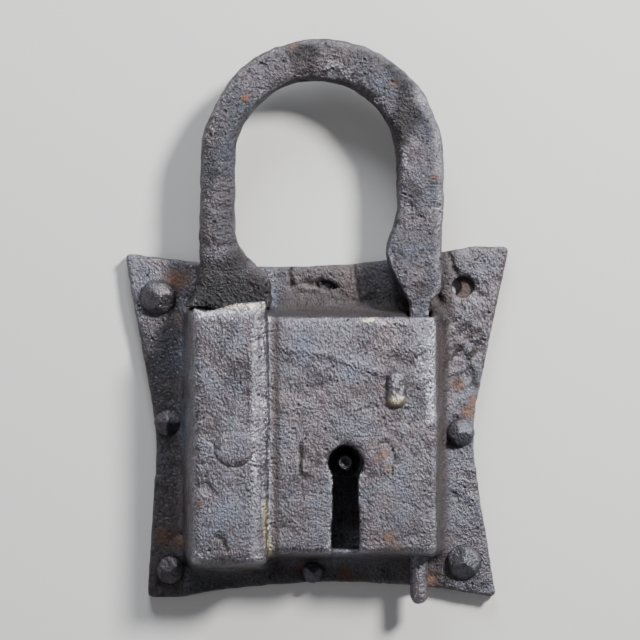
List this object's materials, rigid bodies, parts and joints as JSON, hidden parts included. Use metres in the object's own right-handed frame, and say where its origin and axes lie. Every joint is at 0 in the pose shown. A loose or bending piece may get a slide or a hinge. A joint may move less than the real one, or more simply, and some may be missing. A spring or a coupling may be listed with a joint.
{
  "type": "riveted iron padlock",
  "caption": "Hand-forged padlock: raised sheet casing riveted to a back plate, keyhole with slot, draw shackle and key-thrown bolt, all heavily rusted.",
  "frame": {"origin": "back of the back plate, at the middle of the case", "axes": "+Z out of the keyhole face, +Y towards the shackle's bow, +X to the right as seen from the front"},
  "size_m": [0.1047, 0.1529, 0.0227],
  "materials": {
    "casing_iron": "forged, dark grey with worn edges and rust",
    "plate_iron": "forged, dark grey with rust",
    "shackle_iron": "forged, dark grey, worn brighter on its edges",
    "rivet_iron": "hammered, dark grey",
    "lock_iron": "dark, rusted"
  },
  "bodies": {
    "case": {"back_plate": "plate_iron", "front_casing": "casing_iron", "shank_guide": "lock_iron", "foot_guide": "lock_iron", "shank_guide_rivet": "rivet_iron", "foot_guide_rivet": "rivet_iron", "top_left_rivet": "rivet_iron", "side_left_rivet": "rivet_iron", "bottom_left_rivet": "rivet_iron", "bottom_middle_rivet": "rivet_iron", "bottom_right_rivet": "rivet_iron", "side_right_rivet": "rivet_iron", "bolt_guide": "rivet_iron", "bolt_tail_guide": "lock_iron", "bolt_stop_stud": "lock_iron", "bolt_spring": "lock_iron", "spring_stud": "lock_iron", "ward_bridge": "lock_iron", "round_ward": "lock_iron", "key_pin": "lock_iron", "bottom_peg": "rivet_iron"},
    "shackle": {"shackle": "shackle_iron", "shank_catch_pin": "shackle_iron"},
    "bolt": {"bolt": "lock_iron"}
  },
  "joints": [
    {"name": "shackle_lift", "type": "slide", "parent": "case", "child": "shackle", "axis": [0, 1, 0], "range_m": [0, 0.015]},
    {"name": "bolt_throw", "type": "slide", "parent": "case", "child": "bolt", "axis": [1, 0, 0], "range_m": [0, 0.0062]}
  ]
}
